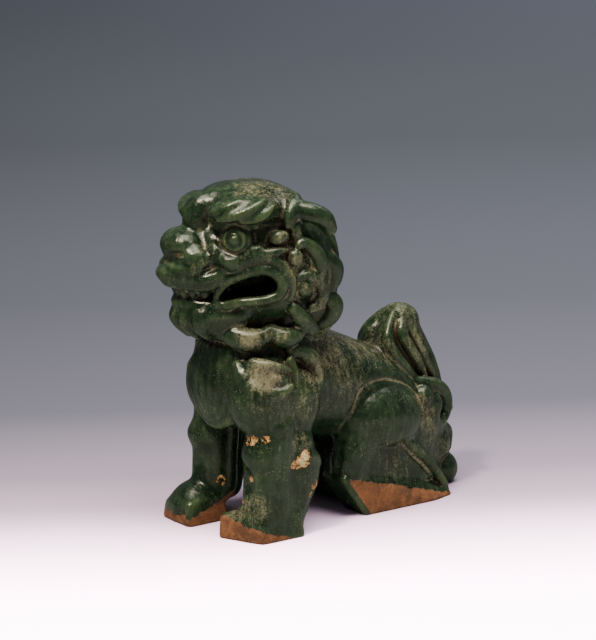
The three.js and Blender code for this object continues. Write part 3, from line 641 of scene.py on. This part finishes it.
def neighbours_of(quads):
    """For every quad the four quads across its edges, -1 where there is none."""
    edges = np.stack([quads, np.roll(quads, -1, axis=1)], 2).reshape(-1, 2)
    edges.sort(axis=1)
    key = edges[:, 0] * (quads.max() + 1) + edges[:, 1]
    order = np.argsort(key, kind="stable")
    ranked = key[order]
    pair = np.flatnonzero(ranked[1:] == ranked[:-1])
    across = np.full(len(key), -1)
    across[order[pair]] = order[pair + 1] // 4
    across[order[pair + 1]] = order[pair] // 4
    return across.reshape(-1, 4)


def patches_of(labels, across):
    """A number for every connected patch of faces with one label."""
    patch = np.arange(len(labels))
    same = (across >= 0) & (labels[across] == labels[:, None])
    while True:
        lowest = patch.copy()
        for k in range(4):
            lowest = np.where(same[:, k], np.minimum(lowest, patch[across[:, k]]), lowest)
        lowest = lowest[lowest]
        if (lowest == patch).all():
            return patch
        patch = lowest


def tidy_labels(labels, across):
    """Smooths the seams between pieces and gives specks to the piece round them."""
    for _ in range(8):
        beside = np.where(across >= 0, labels[across], labels[:, None])
        votes = (beside[:, :, None] == beside[:, None, :]).sum(2)
        best = votes.argmax(1)
        rows = np.arange(len(labels))
        labels = np.where(votes[rows, best] >= 3, beside[rows, best], labels)
    for _ in range(6):
        patch = patches_of(labels, across)
        _, inverse, size = np.unique(patch, return_inverse=True, return_counts=True)
        small = size[inverse] < SPECK
        if not small.any():
            break
        beside = np.where(across >= 0, labels[across], labels[:, None])
        other = (beside != labels[:, None]) & ~small[across]
        edge = small & other.any(1)
        if not edge.any():
            break
        choice = {}
        for face in np.flatnonzero(edge):
            choice.setdefault(patch[face], beside[face][other[face]][0])
        lookup = labels.copy()
        for number, label in choice.items():
            lookup[number] = label
        labels = np.where(np.isin(patch, list(choice)), lookup[patch], labels)
    return labels


def shell_mesh(name, points, quads, normals, thickness, traits):
    """A closed shell: the outer skin, the same skin sunk inwards, and walls along the seams."""
    used, local = np.unique(quads, return_inverse=True)
    local = local.reshape(-1, 4)
    n = len(used)
    outer, way = points[used], normals[used]
    inner = outer - way * thickness[used][:, None]
    edges = np.stack([local, np.roll(local, -1, axis=1)], 2).reshape(-1, 2)
    key = np.sort(edges, axis=1) @ np.array([n + 1, 1])
    _, index, count = np.unique(key, return_index=True, return_counts=True)
    rim = edges[index[count == 1]]
    walls = np.stack([rim[:, 1], rim[:, 0], rim[:, 0] + n, rim[:, 1] + n], 1)
    faces = np.vstack([local, local[:, ::-1] + n, walls])
    mesh = bpy.data.meshes.new(name)
    mesh.vertices.add(2 * n)
    mesh.vertices.foreach_set("co", np.vstack([outer, inner]).astype(np.float32).ravel())
    mesh.loops.add(faces.size)
    mesh.loops.foreach_set("vertex_index", faces.astype(np.int32).ravel())
    mesh.polygons.add(len(faces))
    mesh.polygons.foreach_set("loop_start", np.arange(0, faces.size, 4, dtype=np.int32))
    mesh.update(calc_edges=True)
    mesh.polygons.foreach_set("use_smooth", np.ones(len(faces), bool))
    mesh.normals_split_custom_set_from_vertices(np.vstack([way, -way]).astype(np.float32))
    for trait, values in traits.items():
        mesh.attributes.new(trait, "FLOAT", "POINT").data.foreach_set(
            "value", np.concatenate([values[used]] * 2).astype(np.float32))
    return mesh


def fire(clay, origin):
    """One object for each piece of the clay, whose zero stands at origin in the frame, metres."""
    field = blurred(clay.field, 1)
    points, quads, normals = skin_of(clay, field)
    at = np.clip(points[quads].mean(1) - normals[quads[:, 0]] * 0.5, 0, np.array(clay.shape) - 1)
    i, j, k = np.rint(at).astype(int).T
    across = neighbours_of(quads)
    labels = tidy_labels(clay.owner[i, j, k].astype(int), across)

    # how the surface lies: sharp or hollow, and how shut in
    fine = sampled(blurred(clay.field, 5), points)
    # how shut in each place is; the material paints shade with this, darker the more shut in
    shut = np.zeros(len(points), np.float32)
    for reach in REACHES:
        shut += 1 - np.clip(sampled(field, points + normals * (reach / clay.step)) / reach, 0, 1)
    sunk = -sampled(field, points - normals * (1.2 / clay.step))
    thickness = np.clip(sunk * 0.6, THIN_SKIN, THICK_SKIN) * MM
    at = clay.low + points * clay.step
    traits = {"fine": fine, "shut": shut / len(REACHES), "bare": bareness(at),
              "worn_and_top_lit": spotted(at, WORN_AND_TOP_LIT), "chipped": spotted(at, CHIPPED)}
    place = at * MM + origin
    made = {}
    for code, node in enumerate(clay.pieces, 1):
        mine = quads[labels == code]
        if len(mine) == 0:
            print("no skin for", node)
            continue
        mesh = shell_mesh(node + "_fired", place, mine, normals, thickness, traits)
        made[node] = bpy.data.objects.new(node + "_fired", mesh)
        bpy.context.scene.collection.objects.link(made[node])
    return made


# ---------------------------------------------------------------- materials

class Nodes:
    """Short ways to wire a material; every call gives back an output socket."""

    def __init__(self, name):
        self.material = bpy.data.materials.new(name)
        self.material.use_nodes = True
        self.tree = self.material.node_tree
        self.tree.nodes.clear()
        self.where = self.new("TexCoord").outputs["Object"]

    def new(self, kind, **settings):
        node = self.tree.nodes.new("ShaderNode" + kind)
        for key, value in settings.items():
            setattr(node, key, value)
        return node

    def feed(self, socket, value):
        if isinstance(value, bpy.types.NodeSocket):
            self.tree.links.new(value, socket)
            return
        if hasattr(socket.default_value, "__len__"):
            size = len(socket.default_value)
            value = (*value, 1.0)[:size] if hasattr(value, "__len__") else [value] * size
        socket.default_value = value

    def make(self, kind, inputs, output=0, **settings):
        """A new node with its inputs fed; gives back one of its outputs."""
        node = self.new(kind, **settings)
        for key, value in inputs.items():
            self.feed(node.inputs[key], value)
        return node.outputs[output]

    def trait(self, name):
        return self.new("Attribute", attribute_name=name).outputs["Fac"]

    def math(self, operation, a, b):
        return self.make("Math", {0: a, 1: b}, operation=operation)

    def plus(self, a, b):
        return self.math("ADD", a, b)

    def times(self, a, b):
        return self.math("MULTIPLY", a, b)

    def noise(self, size, detail=3.0, rough=0.55, where=None, twist=0.0):
        """Noise whose lumps are about size millimetres across."""
        return self.make("TexNoise", {
            "Vector": where or self.where, "Scale": 1000.0 / size, "Detail": detail,
            "Roughness": rough, "Distortion": twist}, "Fac")

    def swell(self, *args, **settings):
        """The same noise, centred on zero."""
        return self.math("SUBTRACT", self.noise(*args, **settings), 0.5)

    def stretched(self, share):
        """Places squeezed along Z, so that a texture in them runs up and down."""
        return self.make("VectorMath", {0: self.where, 1: (1, 1, share)}, operation="MULTIPLY")

    def cells(self, size):
        """Distance from the middles of cells about size millimetres across."""
        return self.make("TexVoronoi", {"Vector": self.where, "Scale": 1000.0 / size}, "Distance")

    def ramp(self, value, low, high, kind="SMOOTHSTEP"):
        """0 below low and 1 above high; low may be the greater."""
        return self.make("MapRange", {"Value": value, "From Min": low, "From Max": high},
                         interpolation_type=kind)

    def mix(self, share, a, b):
        return self.make("Mix", {"Factor": share, 6: a, 7: b}, 2, data_type="RGBA")

    def blend(self, share, a, b):
        return self.make("Mix", {"Factor": share, 2: a, 3: b}, data_type="FLOAT")

    def bump(self, height, strength, distance, normal=None):
        inputs = {"Height": height, "Strength": strength, "Distance": distance * MM}
        if normal is not None:
            inputs["Normal"] = normal
        return self.make("Bump", inputs)

    def shader(self, **inputs):
        node = self.new("BsdfPrincipled")
        for name, value in inputs.items():
            self.feed(node.inputs[name.replace("_", " ")], value)
        out = self.new("OutputMaterial")
        self.tree.links.new(node.outputs[0], out.inputs["Surface"])
        return self.material


DEEP = (0.005, 0.012, 0.006)
GREEN = (0.019, 0.035, 0.017)
LEAF = (0.053, 0.072, 0.030)
OLIVE = (0.15, 0.165, 0.080)
BUFF = (0.26, 0.215, 0.130)
RUST = (0.40, 0.17, 0.045)
CREAM = (0.55, 0.43, 0.22)
# near black: dirt in pinholes and hollows, and painted shade deep in hollows
DIRT_AND_SHADE = (0.030, 0.022, 0.014)
CLAY = (0.195, 0.068, 0.028)
CLAY_DARK = (0.095, 0.040, 0.020)
CLAY_PALE = (0.29, 0.145, 0.066)


def fired_material(name):
    """Lead glaze on clay, thin on ridges and pooled in hollows, with bare clay below its edge, and
    painted light in its colour: highlights along ridges, shade deep in hollows and light from above
    on broad spots of the tops.
    """
    n = Nodes(name)
    fine, shut, bare, worn_and_top_lit, chipped = (
        n.trait(word) for word in ("fine", "shut", "bare", "worn_and_top_lit", "chipped"))
    cloud = n.swell(16, 4, 0.6)
    patch = n.swell(4.5, 5, 0.65, twist=0.5)
    grain = n.swell(0.9, 4, 0.6)
    runs = n.swell(2.2, 3, 0.6, where=n.stretched(0.22))

    # glaze runs thin where the clay is sharp and pools where it is hollow; the paler olive on sharp
    # ridges is also a painted highlight along them
    thin = n.plus(n.times(fine, 2.0), n.times(cloud, 1.4))
    thin = n.plus(thin, n.times(n.plus(patch, runs), 0.8))
    thin = n.plus(thin, n.times(grain, 0.6))
    colour = n.mix(n.ramp(thin, -0.30, 0.30), DEEP, GREEN)
    colour = n.mix(n.ramp(thin, 0.15, 0.70), colour, LEAF)
    colour = n.mix(n.ramp(thin, 0.65, 1.3), colour, OLIVE)

    # tan dusting on rubbed places and along the creases between forms; the broad spots on the back,
    # crown and tail top are also painted light from above, which makes those tops paler; near black
    # deep inside the creases, which is dirt and painted shade
    dust_and_top_light = n.plus(worn_and_top_lit, n.times(n.plus(patch, runs), 1.1))
    dust_and_top_light = n.plus(dust_and_top_light, n.times(grain, 1.5))
    # on the broad spots of the tops this buff is also painted light from above
    dust_and_top_light = n.times(n.ramp(dust_and_top_light, 0.20, 1.25), 0.68)
    crease = n.times(n.ramp(fine, -0.05, -0.22), n.ramp(n.plus(patch, grain), -0.25, 0.15))
    crease = n.times(crease, n.ramp(shut, 0.82, 0.56))
    dusty_and_top_lit = n.math("MAXIMUM", n.times(crease, 0.85), dust_and_top_light)
    colour = n.mix(dusty_and_top_lit, colour, BUFF)
    # painted shade: near black where the clay is most shut in, partly dirt, partly shade painted
    # into the colour
    colour = n.mix(n.times(n.ramp(shut, 0.42, 0.7), 0.85), colour, DIRT_AND_SHADE)

    # pinholes and specks
    hole = n.times(n.ramp(n.cells(2.2), 0.20, 0.10), n.ramp(n.noise(9, 2), 0.50, 0.58))
    colour = n.mix(n.times(hole, 0.8), colour, DIRT_AND_SHADE)
    speck = n.times(n.ramp(n.cells(1.3), 0.22, 0.12), n.ramp(n.noise(13, 3), 0.50, 0.62))
    colour = n.mix(n.times(speck, 0.55), colour, BUFF)

    # chips, and bare clay below the glaze's edge
    chip = n.plus(chipped, n.plus(n.times(patch, 1.8), grain))
    raw = n.mix(n.ramp(chip, 0.80, 1.10), RUST, CREAM)
    chip = n.ramp(chip, 0.72, 0.80)
    colour = n.mix(chip, colour, n.mix(n.ramp(grain, -0.02, -0.14), raw, CLAY_DARK))
    clay = n.mix(n.ramp(n.plus(patch, cloud), -0.22, 0.14), CLAY_DARK, CLAY)
    clay = n.mix(n.times(n.ramp(n.plus(grain, patch), 0.0, 0.3), 0.6), clay, CLAY_PALE)
    edge = n.plus(bare, n.times(patch, 0.9))
    is_bare = n.ramp(edge, 0.44, 0.54)
    colour = n.mix(is_bare, colour, clay)
    rough_clay = n.math("MAXIMUM", is_bare, chip)

    ripple = n.plus(n.times(n.noise(2.6, 3), 0.6), n.noise(8, 1))
    normal = n.bump(ripple, 0.45, 0.32)
    normal = n.bump(n.times(hole, -1.0), 0.6, 0.3, normal)
    normal = n.bump(n.math("SUBTRACT", 1.0, edge), 0.7, 0.5, normal)
    gritty = n.times(n.plus(grain, patch), n.math("MAXIMUM", rough_clay, dust_and_top_light))
    normal = n.bump(gritty, 0.7, 0.5, normal)
    gloss = n.blend(n.ramp(patch, -0.1, 0.2), 0.16, 0.26)
    gloss = n.blend(dusty_and_top_lit, gloss, 0.45)
    gloss = n.blend(rough_clay, gloss, 0.9)
    return n.shader(Base_Color=colour, Roughness=gloss, Normal=normal, IOR=1.5,
                    Specular_IOR_Level=0.36, Specular_Tint=(1.0, 0.95, 0.80))


# the paper along the floor: metres from the statue away from the viewer, and the colour there,
# which is the paper's pale pink tint with a painted falloff of light that darkens it further back
PAPER_AND_PAINTED_LIGHT = ((-0.50, (0.30, 0.26, 0.29)), (-0.24, (0.98, 0.81, 0.97)), (-0.10, (0.97, 0.64, 0.91)),
         (-0.03, (0.76, 0.53, 0.73)), (0.06, (0.33, 0.262, 0.355)), (0.19, (0.127, 0.122, 0.168)),
         (0.47, (0.104, 0.109, 0.147)), (1.2, (0.155, 0.168, 0.213)), (3.0, (0.51, 0.56, 0.70)))


def floor_material():
    """A sheet of pale paper with painted light: a painted falloff darkens it away from the viewer,
    and a painted glare that only the camera sees makes it overexposed where it is near.
    """
    n = Nodes("backdrop_paper_painted_light")
    x, y = (n.make("SeparateXYZ", {0: n.where}, axis) for axis in (0, 1))
    cosine, sine = 0.643, 0.766         # of the camera's azimuth
    side = n.plus(n.times(x, cosine), n.times(y, sine))
    away = n.plus(n.times(x, -sine), n.times(y, cosine))
    away = n.math("SUBTRACT", away, n.times(side, 0.11))
    away = n.plus(away, n.times(n.swell(60, 2), 0.004))
    (before, colour), *rest = PAPER_AND_PAINTED_LIGHT
    for place, shade in rest:
        colour = n.mix(n.ramp(away, before, place, kind="LINEAR"), colour, shade)
        before = place
    ray = n.new("LightPath").outputs
    grey = n.make("RGBToBW", {0: colour})
    colour = n.mix(ray["Is Camera Ray"], grey, colour)
    # painted light: the camera sees the near floor with a painted glare, reflections see the floor
    # painted dimmer, and one side is painted brighter
    seen = n.times(ray["Is Camera Ray"], n.ramp(away, 0.015, -0.155))
    strength = n.plus(n.times(seen, 5.5), n.times(ray["Is Glossy Ray"], -0.52))
    strength = n.plus(strength, n.plus(1.0, n.times(side, 0.6)))
    colour = n.make("VectorMath", {0: colour, "Scale": strength}, operation="SCALE")
    return n.shader(Base_Color=colour, Roughness=0.9)


# ---------------------------------------------------------------- camera, floor and lights

AZIMUTH, ELEVATION = 50.0, 13.0          # of the camera, degrees
DISTANCE = 1.1745                        # metres from the camera to what it looks at
AIM = Vector((-0.0132, 0.0050, 0.0910))
LIGHT_AIM = Vector((0, 0, 0.08))


def aimed(name, data, aim, azimuth, elevation, distance):
    """A camera or light put some metres away from a place and turned to it."""
    a, e = radians(azimuth), radians(elevation)
    thing = bpy.data.objects.new(name, data)
    thing.location = aim + Vector((sin(a) * cos(e), -cos(a) * cos(e), sin(e))) * distance
    thing.rotation_euler = (aim - thing.location).to_track_quat("-Z", "Y").to_euler()
    bpy.context.scene.collection.objects.link(thing)
    return thing


def set_camera(origin):
    data = bpy.data.cameras.new("camera")
    data.lens = 135
    data.sensor_width = 36
    bpy.context.scene.camera = aimed("camera", data, AIM + Vector(origin), AZIMUTH, ELEVATION,
                                     DISTANCE)


def softbox(name, azimuth, elevation, distance, size, power, colour):
    data = bpy.data.lights.new(name, "AREA")
    data.shape = "RECTANGLE"
    data.size, data.size_y = size
    data.energy = power
    data.color = colour
    aimed(name, data, LIGHT_AIM, azimuth, elevation, distance)


def set_stage():
    mesh = bpy.data.meshes.new("floor")
    steps = 64
    rings = (0.3, 1.0, 3.0, 8.0)        # metres
    corners = [(0, 0, 0)] + [(r * cos(2 * pi * i / steps), r * sin(2 * pi * i / steps), 0)
                             for r in rings for i in range(steps)]
    faces = [(0, 1 + i, 1 + (i + 1) % steps) for i in range(steps)]
    for ring in range(len(rings) - 1):
        a, b = 1 + ring * steps, 1 + (ring + 1) * steps
        faces += [(a + i, b + i, b + (i + 1) % steps, a + (i + 1) % steps) for i in range(steps)]
    mesh.from_pydata(corners, [], faces)
    floor = bpy.data.objects.new("floor", mesh)
    floor.data.materials.append(floor_material())
    bpy.context.scene.collection.objects.link(floor)
    world = bpy.data.worlds.new("studio")
    world.use_nodes = True
    sky = world.node_tree.nodes["Background"].inputs
    sky["Color"].default_value = (0.92, 0.95, 1.0, 1)
    sky["Strength"].default_value = 0.14
    bpy.context.scene.world = world
    softbox("key", 14, 56, 0.95, (0.115, 0.10), 9.5, (1, 0.93, 0.76))
    softbox("overhead", 60, 80, 1.3, (1.0, 0.8), 32.0, (1, 0.98, 0.91))
    softbox("back_rim", 190, 50, 1.2, (0.5, 0.3), 1.5, (0.95, 0.97, 1))


# ---------------------------------------------------------------- the statue

LOW, HIGH = (-44, -90, -4), (44, 97, 172)      # mm, the block of space that holds the clay
TORSO_FRONT = -57.9                            # mm, the Y of the torso's front in that space
BARE_NODES = ("left_forepaw", "right_forepaw", "left_hind_foot", "right_hind_foot")

# where the glaze is rubbed thin and holds dusting; the broad spots on the back, crown and tail top
# also paint the light that falls on them from above, making those tops paler: x, y, z and reach in
# mm, then how much
WORN_AND_TOP_LIT = ((31, -52, 81, 10, 0.9), (28, -53, 88, 6, 0.6), (21, -53, 98, 8, 0.75),
        (28, -43, 99, 8, 0.5), (8, -67, 137, 7, 0.35), (15, -63, 139, 6, 0.4),
        (23, -56, 134, 7, 0.3), (8, -72, 131, 7, 0.3), (27, -46, 137, 7, 0.4),
        (31, -39, 143, 8, 0.45), (35, -34, 132, 9, 0.55), (35, -25, 120, 9, 0.5),
        (34, -20, 109, 8, 0.5), (30, -22, 78, 12, 0.6), (36, -29, 66, 12, 0.45),
        (35, -40, 68, 14, 0.35), (33, -54, 70, 10, 0.3), (23, 54, 47, 8, 0.6),
        (24, 58, 38, 9, 0.65), (22, 62, 30, 8, 0.5), (18, 74, 20, 8, 0.45), (29, 35, 22, 12, 0.35),
        (12, 66, 59, 9, 0.45), (8, 53, 75, 9, 0.3), (28, -56, 17, 9, 0.55), (35, -34, 45, 7, 0.5),
        (18, -58, 15, 9, 0.55), (26, 5, 68, 16, 0.4), (21, -4, 84, 16, 0.6),
        (-30, -40, 98, 12, 0.5), (-33, -36, 120, 12, 0.5), (-31, -45, 80, 12, 0.6),
        (4, 8, 92, 20, 0.52), (14, 22, 82, 16, 0.55), (6, 38, 72, 16, 0.5), (-24, 54, 42, 10, 0.5),
        (-12, -30, 161, 18, 0.5), (0, 80, 30, 10, 0.4), (14, -40, 163, 18, 0.5),
        (6, 58, 96, 18, 0.45), (14, 64, 76, 14, 0.55), (30, 45, 30, 12, 0.3), (32, 28, 28, 12, 0.3))
# where it is chipped down to the clay
CHIPPED = ((36.4, -33, 38.5, 5.5, 1.0), (35.5, -37, 36, 4, 0.9), (34, -34, 42, 3.5, 0.7),
           (22, -56, 48.5, 3.5, 0.8), (26, -55.5, 49.5, 4, 0.8), (31, -52, 50.5, 3.5, 0.75),
           (23, -56, 30, 3.6, 0.85), (35, -25, 24, 4, 0.8), (35, -27, 19, 3, 0.7),
           (-10, -46, 20, 4, 0.9), (19, -55, 19, 3.5, 0.6), (31, 56, 14, 4, 0.5),
           (-33, -38, 40, 5, 0.8))


def spotted(at, spots):
    """How much of some round spots is felt at rows of places in mm."""
    felt = np.zeros(len(at))
    for x, y, z, reach, amount in spots:
        off = np.linalg.norm(at - (x, y, z), axis=1) / reach
        felt = np.maximum(felt, amount * np.clip(1.25 - off ** 2, 0, 1))
    return felt


def bareness(at):
    """How bare the clay is at rows of places in mm: 0 glazed, 1 bare, half at the glaze's edge."""
    x, y, z = at.T
    left_paw = 11.5 - 0.30 * (y + 64) - 0.14 * np.clip(x - 12, 0, 30)
    right_paw = 5 + np.where(x > -12, 0.35 * (y + 62), 0.06 * (y + 62))
    slab = np.interp(y, [-2, 2, 24.7, 43.1, 61.8, 71], [16, 20, 13.5, 8.3, 2.5, 0.7])
    slab = np.where(np.abs(x) < 14, 1.5, slab)
    line = np.where(y < -25, np.where(x > 0, left_paw, right_paw), slab)
    behind_front = np.where(y < -25, 1, np.clip((y - 13.5 + 0.68 * z) / 3, 0, 1))
    return np.clip((line - z) / 5 + 0.5, 0, 1) * behind_front


def main():
    clay = Clay(LOW, HIGH, GRID_STEP)
    model(clay)
    clay.field = blurred(clay.field, 1)
    clay.field = soft_max(clay.field, -clay.axes[2][None, None, :], np.float32(1.0))
    low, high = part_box("torso_shell")
    origin = np.array([(low.x + high.x) / 2, low.y - TORSO_FRONT * MM, 0])
    pieces = fire(clay, origin)
    glaze = fired_material("green_glaze")
    clay_material = fired_material("bare_clay")
    for node, piece in pieces.items():
        bare = node in BARE_NODES
        piece.data.materials.append(clay_material if bare else glaze)
        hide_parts(node)
        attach(piece, "root")
    for node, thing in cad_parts.items():
        if node not in pieces:
            print("node still shown:", node)
            thing.data.materials.clear()
            thing.data.materials.append(glaze)
    set_camera(origin)
    set_stage()


main()
